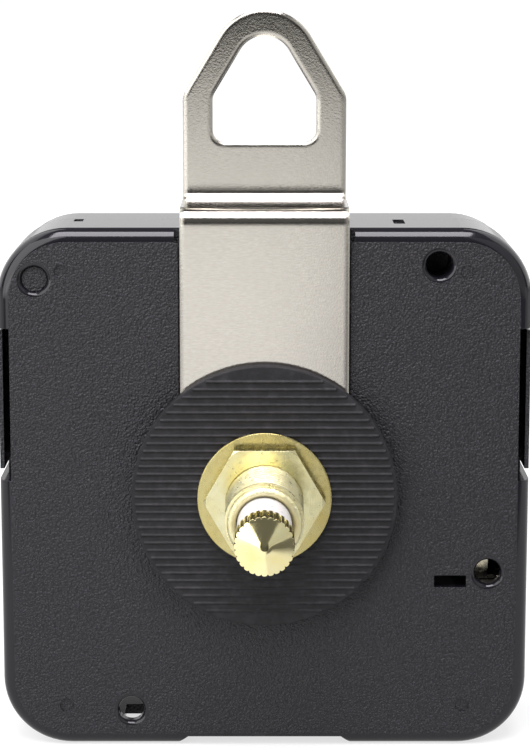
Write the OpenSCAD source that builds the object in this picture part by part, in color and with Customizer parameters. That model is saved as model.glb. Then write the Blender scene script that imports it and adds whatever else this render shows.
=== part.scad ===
// Quartz clock movement with a hanger, M8 bushing and a capped minute arbor.
// Origin on the shaft axis at the front face of the case, +Z up, front towards -Y.

/* [Case] */
// Width and height of the square case
case_size = 56; // [56:0.5:60]
// Radius of the case corners seen from the front
case_corner_r = 7.35; // [7:0.05:8]
// Depth of the whole case
case_depth = 16; // [16:0.1:20]
// Depth of the front case, down to the seam
seam_depth = 8; // [8:0.1:8.6]
// Rounding of the front edge
edge_round = 1.4; // [0.8:0.1:1.8]
// Side wall of the front case
side_wall = 1.1; // [1:0.05:1.15]
// Front wall
front_wall = 1.2; // [1.1:0.05:1.5]
// Step from the front case's outline in to the back cover's wall
cover_inset = 0.3; // [0.2:0.05:0.35]
// Depth of the back cover's flush rim behind the seam
cover_rim = 1.4; // [1:0.1:2]
// Wall of the back cover
cover_wall = 0.8; // [0.7:0.05:0.85]
// Rounding of the back edge
back_round = 0.7; // [0.4:0.1:0.9]

/* [Battery bay] */
// Diameter of the cell that the bay takes
battery_d = 14.5; // [14:0.1:14.6]
// Play of the cell across the bay
battery_play = 0.1; // [0.1:0.05:0.3]
// Wall between the bay and the train
bay_wall = 0.8; // [0.7:0.05:0.9]
// Height of the ribs that cradle the cell over the bottom wall
cradle_h = 0.9; // [0.8:0.05:1]
// Sheet thickness of both contacts
contact_t = 0.4; // [0.3:0.05:0.5]
// Width of each contact's end plate, across the depth of the case
contact_w = 9.4; // [9.2:0.1:10]
// How far the negative contact's leaf stands into the bay
leaf_rise = 2.2; // [1.2:0.1:2.3]
// Height of the negative contact's leaf
leaf_h = 8; // [6:0.5:8.5]

/* [Case details] */
// Depth of the side slots
slot_depth = 1.3; // [1.2:0.05:1.5]
// Top of the side slots above the shaft
slot_top = 17.5; // [16:0.1:18]
// Bottom of the side slots above the shaft
slot_bottom = 1.2; // [0.8:0.1:2.5]
// Thickness of the strip that closes each side slot
strip_t = 0.45; // [0.3:0.05:0.6]
// Gap between a strip's ends and its slot
strip_gap = 0.35; // [0.2:0.05:0.6]
// Half width of the thumb notch in the bottom edge
notch_half = 8.2; // [6:0.1:9]
// Depth of the thumb notch
notch_depth = 1; // [0.6:0.1:1.1]
// Width of the window in the bottom wall
bottom_window_w = 4.5; // [3:0.1:4.8]
// Diameter of the four case holes at their rounded mouths
hole_d = 3.7; // [3.4:0.1:4]
// Inner diameter of the four case holes
hole_inner_d = 2.7; // [2.6:0.1:3]
// Diameter of the moulding marks on the face
mark_d = 1.5; // [1:0.1:2]
// Width of the contact slot in the face
face_slot_w = 3.4; // [2.5:0.1:4]
// Height of the contact slot in the face
face_slot_h = 1.3; // [1:0.1:1.5]

/* [Hanger] */
// Width of the hanger strip
hanger_w = 17.6; // [15:0.1:18]
// Sheet thickness of the hanger
hanger_t = 1; // [0.8:0.1:1.2]
// Depth of the groove that keeps the hanger from turning
groove_depth = 0.4; // [0.2:0.05:0.5]
// Gap beside the hanger in its groove
groove_gap = 0.2; // [0.1:0.05:0.8]
// Gap beside the hanger in the relief at the case's top edge
relief_gap = 0.6; // [0.3:0.1:0.8]
// Depth of the relief at the case's top edge
relief_depth = 0.9; // [0.5:0.05:0.9]
// Height of the hanger's shelf above the case
shelf_rise = 2.2; // [2:0.1:3]
// Distance from the face back to the upright plate
shelf_reach = 9.5; // [8:0.1:11]
// Inner radius of both bends
bend_r = 0.6; // [0.4:0.1:0.9]
// Height of the upright plate above the shelf
plate_h = 20.2; // [19:0.1:24]
// Radius of the arch at the plate's top
arch_r = 5.8; // [5.5:0.1:6.5]
// Lean of the plate's slanted sides from vertical, in degrees
plate_slant = 31; // [28:1:34]
// Width of the hanging hole
hang_w = 11.2; // [9:0.1:12]
// Height of the hanging hole
hang_h = 11.5; // [9:0.1:12.5]
// Top radius of the hanging hole
hang_top_r = 3; // [2.5:0.1:3.5]
// Radius of the hanging hole's bottom corners
hang_corner_r = 1.35; // [1:0.05:2]

/* [Bushing, nut and washers] */
// Thread diameter of the centre bushing
thread_d = 8; // [7.6:0.1:8.4]
// How far the bushing stands out of the face
bushing_reach = 12.2; // [11:0.1:15]
// Bore of the centre bushing
bushing_bore_d = 5.65; // [5.6:0.01:5.75]
// Diameter of the bushing's flange inside the case
flange_d = 11; // [10:0.5:12]
// Thickness of the bushing's flange
flange_t = 0.8; // [0.6:0.1:1]
// Diameter of the rubber washer
rubber_d = 27.8; // [24:0.1:30]
// Thickness of the rubber washer, ribs included
rubber_t = 1.5; // [1.2:0.1:2]
// Height of the ribs on the rubber washer
rib_h = 0.15; // [0.1:0.05:0.4]
// Pitch of the ribs on the rubber washer
rib_pitch = 0.82; // [0.7:0.02:1.2]
// Width of a rib on the rubber washer at its foot
rib_foot = 0.34; // [0.3:0.02:0.6]
// Width of a rib on the rubber washer at its crest
rib_crest = 0.1; // [0.06:0.02:0.2]
// Diameter of the brass washer
brass_washer_d = 14; // [12:0.1:16]
// Thickness of the brass washer
brass_washer_t = 0.5; // [0.3:0.1:0.8]
// Width across the flats of the nut
nut_af = 11; // [10.4:0.1:12]
// Thickness of the nut
nut_t = 1.5; // [1.2:0.1:2.5]
// Height of the bevel round the nut's front face
nut_bevel = 0.15; // [0.05:0.05:0.4]

/* [Hand shafts] */
// Outer diameter of the hour tube
hour_tube_d = 5.5; // [5.4:0.01:5.52]
// How far the hour tube stands out of the bushing
hour_tube_free = 4.1; // [3:0.1:5]
// Diameter of the minute arbor inside the hour tube
minute_arbor_d = 3.44; // [3.3:0.02:3.5]
// Diameter of the minute arbor's threaded tip
minute_tip_d = 2.8; // [2.4:0.1:3]
// Length of the minute arbor's threaded tip
minute_tip_l = 1.7; // [1.4:0.1:1.8]
// Diameter of the seconds arbor
second_arbor_d = 1; // [0.8:0.05:1.05]
// Diameter of the cap nut over its knurl
cap_d = 5.9; // [5.2:0.1:7]
// Height of the cap nut's knurled part
cap_rim_h = 2.6; // [2.4:0.1:3.5]
// Height of the cap nut's cone
cap_cone_h = 1; // [0.6:0.1:1.5]
// Number of ridges in the cap nut's knurl
cap_ridges = 28; // [20:2:36]
// Depth of the cap nut's knurl
cap_knurl = 0.2; // [0.1:0.02:0.26]

/* [Wheels] */
// Thickness of every toothed wheel
gear_t = 0.9; // [0.8:0.05:0.9]
// Room for parts between the circuit board and the back
board_room = 3.1; // [2.8:0.1:3.4]
// Distance from the shaft to the third and intermediate arbors
train_distance = 7.6; // [7.4:0.1:8.4]
// Distance from the intermediate arbor to the rotor
rotor_distance = 5.7; // [5.4:0.05:6]
// Gear module of the motion work
motion_module = 0.22; // [0.22:0.005:0.23]
// Radial play of every turning shaft
running_gap = 0.06; // [0.04:0.01:0.07]
// Diameter of the rotor magnet
magnet_d = 4.4; // [3.6:0.1:4.6]
// Diameter of the setting knob
knob_d = 8.6; // [7:0.1:9]

/* [Coil and stator] */
// Length of the coil winding between its cheeks
winding_l = 17; // [14:0.5:17.5]
// Diameter of the coil winding
winding_d = 6; // [5:0.1:6.2]
// Thickness of the coil core
core_t = 1; // [0.8:0.1:1.2]
// Thickness of the stator plate
stator_t = 0.8; // [0.6:0.1:0.9]
// Air gap around the rotor magnet
air_gap = 0.5; // [0.3:0.05:0.6]

/* [Circuit] */
// Width of the circuit board
board_w = 20.4; // [19.6:0.1:20.6]
// Height of the circuit board
board_h = 13.6; // [12:0.1:14]
// Thickness of the circuit board
board_t = 0.8; // [0.6:0.1:1]
// Diameter of the crystal's can
crystal_d = 2; // [1.5:0.1:2.2]
// Length of the crystal's can
crystal_l = 6; // [5:0.1:7]

/* [Hidden] */
$fn = 64;
// Overshoot of a cut past the face that it opens
cut = 1;
half = case_size / 2;
press_gap = 0.01;

// Depths inside the case, counted from the face and negative towards the back
inside_z = -front_wall;
flange_back_z = inside_z - flange_t;
hub_gap = 0.2;
cover_inner_z = -(case_depth - cover_wall);
board_back_z = cover_inner_z + board_room;
board_z = board_back_z + board_t;
board_rest = 0.6;
bridge_back_z = board_z + board_rest;
bridge_t = 1;
bridge_z = bridge_back_z + bridge_t;

// Six layers of wheels share the depth between the bushing's flange and the bridge
wheel_layers = 6;
layer_pitch = (flange_back_z - hub_gap - bridge_z) / wheel_layers;
layer_gap = layer_pitch - gear_t;
function layer_z(i) = flange_back_z - hub_gap - i * layer_pitch;
hour_z = layer_z(0);
work_z = layer_z(1);
center_z = layer_z(2);
third_z = layer_z(3);
second_z = layer_z(4);
inter_z = layer_z(5);

// Tooth counts: rotor to seconds 30 to 1, seconds to minutes 60 to 1, minutes to hours 12 to 1
leaves = 8;
rotor_wheel_teeth = 30;
second_teeth = 64;
third_teeth = 60;
center_teeth = 64;
minute_teeth = 15;
work_teeth = 45;
work_leaves = 12;
hour_teeth = 48;

// Arbor places in the plane of the face, from the shaft
function polar(distance, angle) = distance * [cos(angle), sin(angle)];
third_angle = 130;
inter_angle = 40;
rotor_angle = 60;
work_angle = 200;
set_angle = 180;
work_distance = motion_module * (minute_teeth + work_teeth) / 2;
third_at = polar(train_distance, third_angle);
inter_at = polar(train_distance, inter_angle);
rotor_at = inter_at + polar(rotor_distance, rotor_angle);
work_at = polar(work_distance, work_angle);
set_at = work_at + polar(work_distance, set_angle);

third_module = 2 * train_distance / (leaves + third_teeth);
center_module = 2 * train_distance / (leaves + center_teeth);
second_module = 2 * train_distance / (leaves + second_teeth);
rotor_module = 2 * rotor_distance / (leaves + rotor_wheel_teeth);

// Tooth form: heights in modules, widths as a share of the pitch
addendum = 0.9;
dedendum = 1.2;
tip_share = 0.2;
root_share = 0.62;
function rim_r(teeth, size) = teeth * size / 2 + addendum * size;
core_under = 0.05;
function root_r(teeth, size) = teeth * size / 2 - dedendum * size;
function core_r(teeth, size) = root_r(teeth, size) - core_under;

// Arbors and their bearings
arbor_r = 0.4;
pivot_r = 0.28;
pivot_l = 0.7;
end_play = 0.1;
post_r = 0.9;
arbor_front_z = center_z + layer_gap - end_play / 2;
rotor_front_z = third_z + layer_gap - end_play / 2;
rotor_core_r = 0.6;
rotor_post_r = 1;
stud_r = 0.7;
stud_boss_r = 1.2;
set_shaft_r = 1.1;
set_pivot_r = 0.6;
set_post_r = 1.2;
minute_neck_r = 1.3;

// Stack on the bushing
strip_front_z = hanger_t - groove_depth;
rubber_z = strip_front_z;
washer_z = rubber_z + rubber_t;
nut_z = washer_z + brass_washer_t;
sleeve_gap = 0.1;
thread_gap = 0.02;
collar_l = 1;
collar_step = 0.25;
collar_chamfer = 0.25;

// Hand shafts in front of the bushing
hour_end_z = bushing_reach + hour_tube_free;
cap_back_gap = 0.3;
cap_z = hour_end_z + cap_back_gap;
cap_rim_z = cap_z + cap_rim_h;
cap_apex_z = cap_rim_z + cap_cone_h;
second_end_gap = 0.15;
cap_bore_l = minute_tip_l + 0.35;
second_end_z = cap_z + cap_bore_l - second_end_gap;

// Battery bay, measured up from the bottom edge
cover_half = half - cover_inset;
cover_inner = cover_half - cover_wall;
bay_bottom = -cover_inner + cradle_h;
bay_top = bay_bottom + battery_d + battery_play;
bay_roof = bay_top + bay_wall;
cradle_x = [-21, -12, 12, 21];
cradle_t = 1;

// Case holes: distances from the case's sides and from its top, bottom or bay
hole_tl_in = [4, 5.3];
hole_tr_in = [9.8, 3.8];
hole_br_in = [4.3, 1.8];
hole_bl_in = [13.75, 4];
hole_tl = [-(half - hole_tl_in[0]), half - hole_tl_in[1]];
hole_tr = [half - hole_tr_in[0], half - hole_tr_in[1]];
hole_br = [half - hole_br_in[0], bay_roof + hole_br_in[1]];
hole_bl = [-(half - hole_bl_in[0]), -(half - hole_bl_in[1])];

// Contacts
wall_play = 0.05;
contact_x = cover_inner - wall_play - contact_t;
contact_low = -(half - case_corner_r) - 0.4;
cell_axis_y = (bay_bottom + bay_top) / 2;
leaf_mid_y = contact_low + leaf_h / 2 + 0.1;
contact_front_z = -(case_depth - contact_w) / 2 - 0.2;
contact_back_z = contact_front_z - contact_w;
contact_rise = 3.2;
tab_z = contact_front_z;
tab_reach = 1.5;
tab_left = hole_br[0] - tab_reach;
tab_right = hole_br[0] + 0.4;
pass_w = 2.3;
pass_gap = 0.15;
rail_w = 1.9;
rail_front_z = contact_back_z + 2;

// Side slots and their strips
slot_floor = half - slot_depth;
slot_backing = 1;
strip_front = -(edge_round - 0.15);

// Window in the bottom wall, below the bottom left hole
bottom_window_x = hole_bl[0] - 1.2;
bottom_window_z = [-seam_depth - cover_rim * 0.65, -3];

pin_gap = 0.04;
pin_r = hole_inner_d / 2 - pin_gap;
sleeve_wall = 0.8;
sleeve_l = 5;
pin_tl_z = -0.5;
pin_tr_z = -4.6;
mark_in = [6.85, 4.5];
marks = [for (x = [-1, 1], y = [-1, 1]) [x * (half - mark_in[0]), y * (half - mark_in[1])]];
mark_depth = 0.12;
face_slot_in = 8.3;
face_slot_at = [half - face_slot_in, bay_roof + 0.2 + face_slot_h / 2];

// Snap windows in the top wall: middle, width, front depth and back depth
windows = [[-(half - 8.1), 1, 6.2, seam_depth + cut], [half - 13.7, 1.2, 4.4, 7.6]];
hook_half = 1;
hook_t = 0.85;
hook_play = 0.1;
nub_gap = 0.2;
hook_foot = 2;

// Pillars that carry the train bridge: in from the sides, down from the top, up from the bay
pillar_left_in = 7.5;
pillar_right_in = 8.8;
pillar_drop = 13;
pillar_rise = 3.2;
pillars = [[-(half - pillar_left_in), half - pillar_drop],
           [half - pillar_right_in, half - pillar_drop],
           [-(half - pillar_left_in), bay_roof + pillar_rise],
           [half - pillar_right_in - 0.6, bay_roof + pillar_rise + 0.8]];
pillar_r = 1.6;
peg_r = 0.8;
peg_gap = 0.05;
bridge_margin = 2;

// Coil and stator: the core lies behind the stator's level on two posts
coil_to_hole = 13.7;
coil_drop = 7.5;
coil_at = [hole_tr[0] - coil_to_hole, half - coil_drop];
cheek_t = 0.6;
cheek_r = winding_d / 2 + 0.3;
core_w = 2.4;
core_end = 3.3;
core_half = winding_l / 2 + cheek_t + core_end;
post_in = 1.4;
coil_post_x = core_half - post_in;
core_gap = 0.05;
stator_z = third_z - gear_t - layer_gap / 2;
core_front_z = stator_z + core_t;
coil_z = stator_z + core_t / 2;
coil_post_r = 1.5;
stator_bore_r = magnet_d / 2 + air_gap;
stator_ring = 1.3;
arm_w = 2.4;
foot_r = 1.6;
elbow_y = coil_at[1] - cheek_r - arm_w / 2 - 0.3;

// Circuit board and what it carries
board_in = 2.3;
board_at = [cover_inner - board_in - board_w, bay_roof + 1.4];
peg_in = [2.6, 2.2];
board_pegs = [[peg_in[0], board_h - peg_in[1]],
              [board_w - peg_in[0] - 2, board_h - peg_in[1]]];
chip_at = [13.4, 8.2];
chip_r = 2.6;
chip_h = 0.9;
crystal_at = [6.4, 4.2];
lead_r = 0.15;
lead_l = 2.4;
lead_spread = 0.35;

// Set knob in its recess
knob_recess = 1.9;
knob_gap = 0.5;
knob_lift = 0.3;
knob_proud = 0.4;
recess_floor_z = -(case_depth - knob_recess);
knob_front_z = recess_floor_z - knob_lift;
knob_back_z = -(case_depth + knob_proud);
knob_grooves = 16;

// Helpers: the face plane is drawn flat, z forward, and stood up at the end
module upright() {
    rotate([90, 0, 0])
        children();
}

module slab(z_front, thickness) {
    translate([0, 0, z_front - thickness])
        linear_extrude(thickness)
            children();
}

module rod(radius, z_front, z_back) {
    translate([0, 0, z_back])
        cylinder(r = radius, h = z_front - z_back);
}

module at(place) {
    translate([place[0], place[1], 0])
        children();
}

module span(low, high) {
    translate(low)
        cube(high - low);
}

module rounded_square(width, height, radius) {
    square([width, height - 2 * radius], center = true);
    square([width - 2 * radius, height], center = true);
    for (x = [-1, 1], y = [-1, 1])
        translate([x * (width / 2 - radius), y * (height / 2 - radius)])
            circle(radius);
}

// Section of a block's edge: from the axis out to reach, with one rounded corner
module edge_section(reach, depth, round_r) {
    translate([0, -depth])
        square([reach - round_r, depth]);
    translate([0, -depth])
        square([reach, depth - round_r]);
    translate([reach - round_r, -round_r])
        circle(round_r);
}

// Square block with round corners and a rounded edge at z = 0
module soft_block(half_size, corner_r, depth, round_r) {
    flat = half_size - corner_r;
    translate([-flat, -flat, -depth])
        cube([2 * flat, 2 * flat, depth]);
    for (side = [0, 90, 180, 270])
        rotate([0, 0, side]) {
            translate([flat, flat, 0])
                rotate([90, 0, 0])
                    linear_extrude(2 * flat)
                        edge_section(corner_r, depth, round_r);
            translate([flat, flat, 0])
                rotate_extrude()
                    edge_section(corner_r, depth, round_r);
        }
}

module block(half_size, corner_r, z_front, z_back) {
    slab(z_front, z_front - z_back)
        rounded_square(2 * half_size, 2 * half_size, corner_r);
}

// Toothed outline with one tooth centred on angle 0
module gear_outline(teeth, size) {
    tip = rim_r(teeth, size);
    root = root_r(teeth, size);
    pitch = 360 / teeth;
    polygon([for (i = [0:teeth - 1], k = [0:3])
        let (side = (k < 2) ? -1 : 1,
             at_tip = (k == 1 || k == 2),
             radius = at_tip ? tip : root,
             share = at_tip ? tip_share : root_share)
        polar(radius, pitch * (i + side * share / 2))]);
}

module gear(teeth, size, z_front, phase) {
    rotate([0, 0, phase])
        slab(z_front, gear_t)
            gear_outline(teeth, size);
}

// Phase of a wheel that meshes with one whose tooth stands at angle phase
function mesh_phase(line, phase, teeth, meshing_teeth) =
    line + 180 - ((phase - line) * teeth / 360 + 0.5) * 360 / meshing_teeth;

// Plain arbor with a thin pivot at each end
module pivoted_arbor(radius, z_front, z_back) {
    rod(radius, z_front, z_back);
    rod(pivot_r, z_front + pivot_l, z_back - pivot_l);
}

module bearing_bore(z_front, z_back) {
    rod(pivot_r + running_gap, z_front, z_back);
}

// Case shells
module side_slot_cut() {
    span([slot_floor, slot_bottom, -seam_depth - cut], [half + cut, slot_top, cut]);
}

module notch_cut(z_back) {
    ramp = 1.2;
    slab(cut, cut - z_back)
        polygon([[-notch_half, -half + notch_depth], [notch_half, -half + notch_depth],
                 [notch_half + ramp * notch_depth, -half],
                 [notch_half + ramp * notch_depth, -half - cut],
                 [-notch_half - ramp * notch_depth, -half - cut],
                 [-notch_half - ramp * notch_depth, -half]]);
}

module hanger_groove() {
    slab(cut, cut + groove_depth) {
        circle(hanger_w / 2 + groove_gap);
        translate([-hanger_w / 2 - groove_gap, 0])
            square([hanger_w + 2 * groove_gap, half + cut]);
    }
    slab(cut, cut + relief_depth)
        translate([-hanger_w / 2 - relief_gap, half - edge_round])
            square([hanger_w + 2 * relief_gap, edge_round + cut]);
}

module bottom_window() {
    span([bottom_window_x, -half - cut, bottom_window_z[0]],
         [bottom_window_x + bottom_window_w, bay_bottom - cradle_h / 2,
          bottom_window_z[1]]);
}

module front_shell() {
    difference() {
        soft_block(half, case_corner_r, seam_depth, edge_round);
        block(half - side_wall, case_corner_r - side_wall, inside_z, -seam_depth - cut);
    }
    for (x = [-1, 1])
        span([x > 0 ? slot_floor - slot_backing : -slot_floor, slot_bottom - slot_backing,
              -seam_depth],
             [x > 0 ? slot_floor : -slot_floor + slot_backing, slot_top + slot_backing,
              inside_z]);
    span([-notch_half - 2, -half + notch_depth, -seam_depth],
         [notch_half + 2, bay_bottom - wall_play, inside_z]);
}

module front_posts() {
    for (place = pillars)
        at(place) {
            rod(pillar_r, inside_z, bridge_z);
            rod(peg_r, bridge_z, bridge_back_z - 0.4);
        }
    for (place = [third_at, inter_at])
        at(place)
            rod(post_r, inside_z, arbor_front_z);
    at(rotor_at)
        rod(rotor_post_r, inside_z, rotor_front_z);
    at(set_at)
        rod(set_post_r, inside_z, work_z + end_play);
    at(work_at) {
        rod(stud_boss_r, inside_z, hour_z + end_play);
        rod(stud_r, inside_z, work_z - gear_t);
    }
    for (x = [-1, 1])
        at(coil_at + [x * coil_post_x, 0]) {
            rod(coil_post_r, inside_z, core_front_z);
            rod(peg_r, core_front_z, stator_z - stator_t - 0.4);
        }
    for (place = [hole_tl, hole_tr])
        at(place)
            rod(hole_inner_d / 2 + sleeve_wall, inside_z, -sleeve_l);
}

// Cut for a hole's mouth, whose edge is a quarter round
module round_mouth() {
    mouth_r = (hole_d - hole_inner_d) / 2;
    rotate_extrude()
        difference() {
            translate([0, -mouth_r])
                square([hole_d / 2, mouth_r + cut]);
            translate([hole_d / 2, -mouth_r])
                circle(mouth_r);
        }
}

module front_case() {
    upright()
        color([0.09, 0.09, 0.1])
            difference() {
                union() {
                    front_shell();
                    front_posts();
                }
                for (x = [0, 1])
                    mirror([x, 0, 0])
                        side_slot_cut();
                notch_cut(-seam_depth - cut);
                bottom_window();
                hanger_groove();
                rod(thread_d / 2 + thread_gap, cut, inside_z - cut);
                for (place = [hole_tl, hole_tr, hole_br, hole_bl])
                    at(place) {
                        round_mouth();
                        rod(hole_inner_d / 2, 0, -sleeve_l - cut);
                    }
                for (place = marks)
                    at(place)
                        rod(mark_d / 2, cut, -mark_depth);
                at(face_slot_at)
                    slab(cut, cut + front_wall + cut)
                        square([face_slot_w, face_slot_h], center = true);
                for (w = windows)
                    span([w[0] - w[1] / 2, half - side_wall - cut, -w[3]],
                         [w[0] + w[1] / 2, half + cut, -w[2]]);
                for (place = [third_at, inter_at])
                    at(place)
                        bearing_bore(arbor_front_z + pivot_l + end_play, arbor_front_z - cut);
                at(rotor_at)
                    bearing_bore(rotor_front_z + pivot_l + end_play, rotor_front_z - cut);
                at(set_at)
                    rod(set_pivot_r + running_gap, work_z + pivot_l + 2 * end_play,
                        work_z - cut);
            }
}

module cover_shell() {
    difference() {
        union() {
            translate([0, 0, -case_depth])
                mirror([0, 0, 1])
                    soft_block(cover_half, case_corner_r - cover_inset,
                               case_depth - seam_depth, back_round);
            block(half, case_corner_r, -seam_depth, -seam_depth - cover_rim);
        }
        block(cover_inner, case_corner_r - cover_inset - cover_wall,
              -seam_depth + cut, cover_inner_z);
        intersection() {
            block(cover_inner, case_corner_r - cover_inset - cover_wall,
                  cover_inner_z + cut, -case_depth - cut);
            span([-half, -half, -case_depth - cut], [half, bay_top, cover_inner_z + cut]);
        }
        at(set_at)
            rod(knob_d / 2 + knob_gap, recess_floor_z, -case_depth - cut);
    }
}

module knob_well() {
    at(set_at)
        rod(knob_d / 2 + knob_gap + cover_wall, recess_floor_z + cover_wall,
            -case_depth + back_round / 2);
}

module cover_hooks() {
    for (w = windows) {
        outer = half - side_wall - hook_play;
        front = -w[2] + nub_gap;
        span([w[0] - hook_half, outer - hook_t, -seam_depth - hook_foot],
             [w[0] + hook_half, outer, front]);
        span([w[0] - hook_half, outer - hook_t, -seam_depth - hook_foot],
             [w[0] + hook_half, cover_inner + cover_wall / 2, -seam_depth - hook_play]);
        span([w[0] - w[1] / 2 + nub_gap, outer - hook_t, -min(w[3], seam_depth) + nub_gap],
             [w[0] + w[1] / 2 - nub_gap, outer + side_wall * 0.6, -w[2] - nub_gap]);
    }
}

module back_cover() {
    upright()
        color([0.07, 0.07, 0.08])
            difference() {
                union() {
                    cover_shell();
                    intersection() {
                        knob_well();
                        block(cover_half - cover_wall / 2, case_corner_r - cover_inset,
                              0, -case_depth + back_round / 2);
                    }
                    span([-cover_inner - cover_wall / 2, bay_top, cover_inner_z - cover_wall / 2],
                         [cover_inner + cover_wall / 2, bay_roof, -seam_depth - hook_play]);
                    span([-cover_inner, bay_top, -seam_depth - cut],
                         [cover_inner, bay_roof, inside_z - end_play]);
                    cover_hooks();
                    for (x = cradle_x)
                        span([x - cradle_t / 2, -cover_inner - cover_wall / 2,
                              cover_inner_z],
                             [x + cradle_t / 2, bay_bottom, -seam_depth - cover_rim]);
                    for (x = [0, 1])
                        mirror([x, 0, 0])
                            span([half - strip_t, slot_bottom + 3 * strip_gap,
                                  -seam_depth - cover_rim / 2],
                                 [half, slot_top - strip_gap, strip_front]);
                    at(hole_tl)
                        rod(pin_r, pin_tl_z, cover_inner_z - cover_wall / 2);
                    at(hole_tr)
                        rod(pin_r, pin_tr_z, cover_inner_z - cover_wall / 2);
                }
                at(set_at) {
                    rod(set_shaft_r + running_gap, 0, -case_depth - cut);
                    rod(knob_d / 2 + knob_gap, recess_floor_z, -case_depth - cut);
                }
                notch_cut(-seam_depth - cover_rim);
                bottom_window();
                contact_passages();
            }
}

// Gaps in the bay's wall where the two contacts pass it
module contact_passages() {
    span([contact_x - pass_gap, bay_top - cut / 2, tab_z - pass_w - pass_gap],
         [cover_inner, bay_roof + cut, tab_z + pass_gap]);
    span([-cover_inner, bay_top - cut / 2, board_back_z - rail_w - pass_gap],
         [-contact_x + pass_gap, bay_roof + cut, rail_front_z + pass_gap]);
}

// Centre bushing and what is stacked on it
module center_bushing() {
    collar_r = thread_d / 2 - collar_step;
    thread_end = bushing_reach - collar_l;
    upright()
        color([0.83, 0.72, 0.38])
            difference() {
                union() {
                    rod(flange_d / 2, inside_z, flange_back_z);
                    rod(thread_d / 2, thread_end, flange_back_z);
                    rod(collar_r, bushing_reach - collar_chamfer, flange_back_z);
                    translate([0, 0, bushing_reach - collar_chamfer])
                        cylinder(r1 = collar_r, r2 = collar_r - collar_chamfer,
                                 h = collar_chamfer);
                }
                rod(bushing_bore_d / 2, bushing_reach + cut, flange_back_z - cut);
                translate([0, 0, bushing_reach - 0.35])
                    cylinder(r1 = bushing_bore_d / 2, r2 = bushing_bore_d / 2 + 0.4, h = 0.4);
            }
}

// Rib with sloping sides, along x over the rubber's face
module rubber_rib(reach, y, z_face) {
    translate([-reach, y, z_face])
        rotate([90, 0, 90])
            linear_extrude(2 * reach)
                polygon([[-rib_foot / 2, -rib_h], [rib_foot / 2, -rib_h], [rib_foot / 2, 0],
                         [rib_crest / 2, rib_h], [-rib_crest / 2, rib_h], [-rib_foot / 2, 0]]);
}

module rubber_washer() {
    rib_margin = 1.5;
    rib_count = floor((rubber_d / 2 - rib_margin) / rib_pitch);
    rib_inset = 0.35;
    disc_t = rubber_t - rib_h;
    upright()
        color([0.1, 0.1, 0.11])
            difference() {
                union() {
                    slab(rubber_z + disc_t, disc_t)
                        circle(d = rubber_d, $fn = 96);
                    for (i = [-rib_count:rib_count]) {
                        y = i * rib_pitch;
                        rubber_rib(sqrt(pow(rubber_d / 2, 2) - y * y) - rib_inset, y,
                                   rubber_z + disc_t);
                    }
                }
                rod(thread_d / 2 + sleeve_gap, washer_z + cut, rubber_z - cut);
            }
}

module brass_washer() {
    upright()
        color([0.86, 0.76, 0.42])
            difference() {
                rod(brass_washer_d / 2, nut_z, washer_z);
                rod(thread_d / 2 + sleeve_gap, nut_z + cut, washer_z - cut);
            }
}

module hex_nut() {
    corner = nut_af / 2 / cos(30);
    upright()
        color([0.86, 0.77, 0.44])
            difference() {
                intersection() {
                    translate([0, 0, nut_z])
                        cylinder(r = corner, h = nut_t, $fn = 6);
                    union() {
                        rod(corner + cut, nut_z + nut_t - nut_bevel, nut_z);
                        translate([0, 0, nut_z + nut_t - nut_bevel])
                            cylinder(r1 = corner, r2 = corner - 2 * nut_bevel, h = nut_bevel);
                    }
                }
                rod(thread_d / 2 + thread_gap, nut_z + nut_t + cut, nut_z - cut);
            }
}

// Hanger: strip on the face, shelf over the case and upright plate with its hole
shelf_top = half + shelf_rise;
plate_top = shelf_top + plate_h;
plate_front_z = -shelf_reach;
bend_out = bend_r + hanger_t;
strip_bend_y = shelf_top - bend_out;
plate_bend_y = shelf_top + bend_r;

// Quarter of a tube across the hanger's width, opening to +y and +z
module hanger_bend() {
    translate([-hanger_w / 2, 0, 0])
        rotate([90, 0, 90])
            linear_extrude(hanger_w)
                intersection() {
                    difference() {
                        circle(bend_out);
                        circle(bend_r);
                    }
                    square(bend_out);
                }
}

module plate_outline() {
    arch_y = plate_top - arch_r;
    shoulder_r = 2;
    shoulder_x = hanger_w / 2 - shoulder_r;
    shoulder_y = arch_y + (arch_r - shoulder_r - shoulder_x * cos(plate_slant))
                 / sin(plate_slant);
    hull() {
        translate([0, arch_y])
            circle(arch_r);
        for (x = [-1, 1])
            translate([x * shoulder_x, shoulder_y])
                circle(shoulder_r);
        translate([-hanger_w / 2, plate_bend_y])
            square([hanger_w, 1]);
    }
}

module hang_hole_outline() {
    top_y = plate_top - arch_r;
    bottom_y = top_y + hang_top_r - hang_h;
    shoulder_r = 2;
    shoulder_x = hang_w / 2 - shoulder_r;
    shoulder_y = top_y + (hang_top_r - shoulder_r - shoulder_x * cos(plate_slant))
                 / sin(plate_slant);
    hull() {
        translate([0, top_y])
            circle(hang_top_r);
        for (x = [-1, 1]) {
            translate([x * shoulder_x, shoulder_y])
                circle(shoulder_r);
            translate([x * (hang_w / 2 - hang_corner_r), bottom_y + hang_corner_r])
                circle(hang_corner_r);
        }
    }
}

module hanger() {
    upright()
        color([0.75, 0.72, 0.67]) {
            difference() {
                slab(strip_front_z, hanger_t) {
                    circle(hanger_w / 2);
                    translate([-hanger_w / 2, 0])
                        square([hanger_w, strip_bend_y]);
                }
                rod(thread_d / 2 + sleeve_gap, strip_front_z + cut, -hanger_t - cut);
            }
            translate([0, strip_bend_y, strip_front_z - bend_out])
                hanger_bend();
            span([-hanger_w / 2, shelf_top - hanger_t, plate_front_z + bend_r],
                 [hanger_w / 2, shelf_top, strip_front_z - bend_out]);
            translate([0, plate_bend_y, plate_front_z + bend_r])
                rotate([180, 0, 0])
                    hanger_bend();
            slab(plate_front_z, hanger_t)
                difference() {
                    plate_outline();
                    hang_hole_outline();
                }
        }
}

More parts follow.
